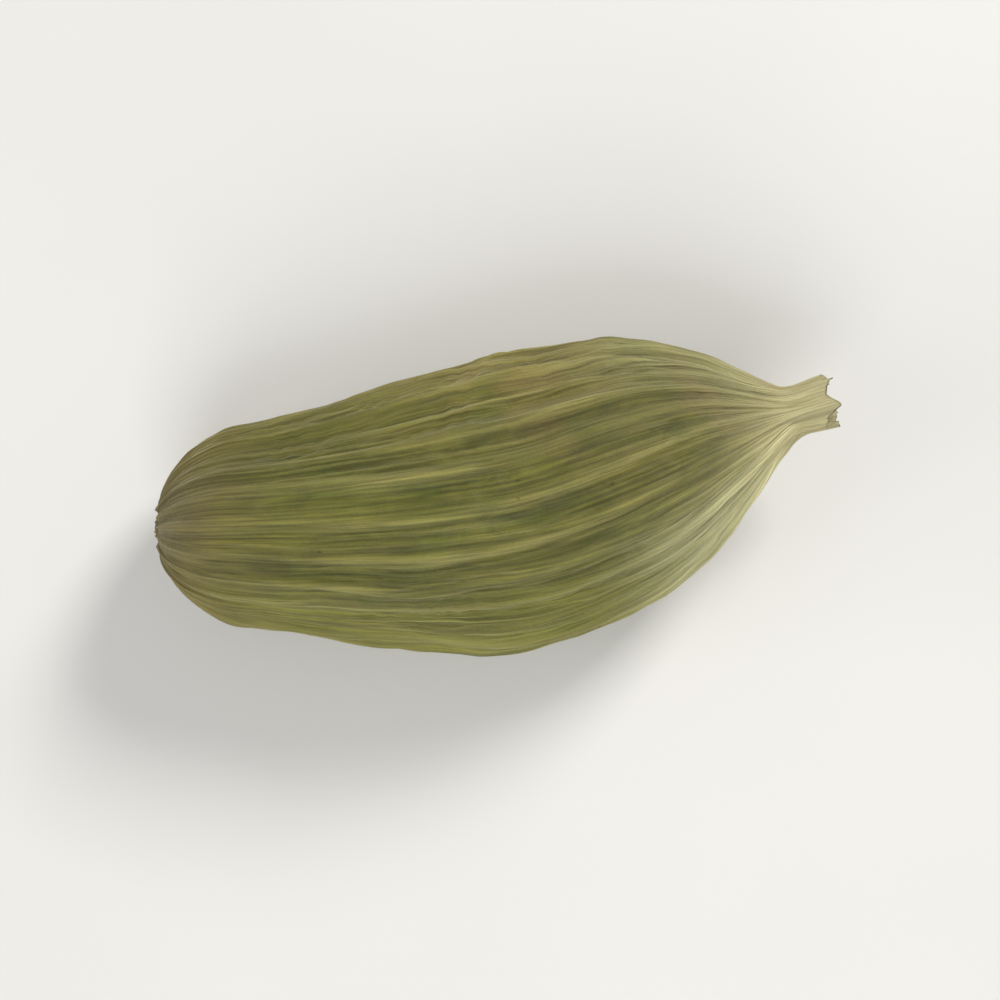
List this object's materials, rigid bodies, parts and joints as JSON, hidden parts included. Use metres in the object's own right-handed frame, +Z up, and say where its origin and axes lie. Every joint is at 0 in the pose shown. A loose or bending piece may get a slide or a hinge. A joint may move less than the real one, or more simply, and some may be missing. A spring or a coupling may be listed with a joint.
{
  "type": "green cardamom pod",
  "caption": "Dried closed spice pod lying on its side: ribbed three-lobed husk with a blunt base, a stalk scar and a short flared beak.",
  "frame": {"origin": "middle of the pod's bounding box, on the surface that it lies on", "axes": "+X along the pod from the stalk scar to the beak, +Z up"},
  "size_m": [0.015, 0.0066, 0.0059],
  "materials": {
    "husk": "dry fibrous husk, olive green with buff ribs"
  },
  "bodies": {
    "root": {"pod": "husk"}
  },
  "joints": []
}
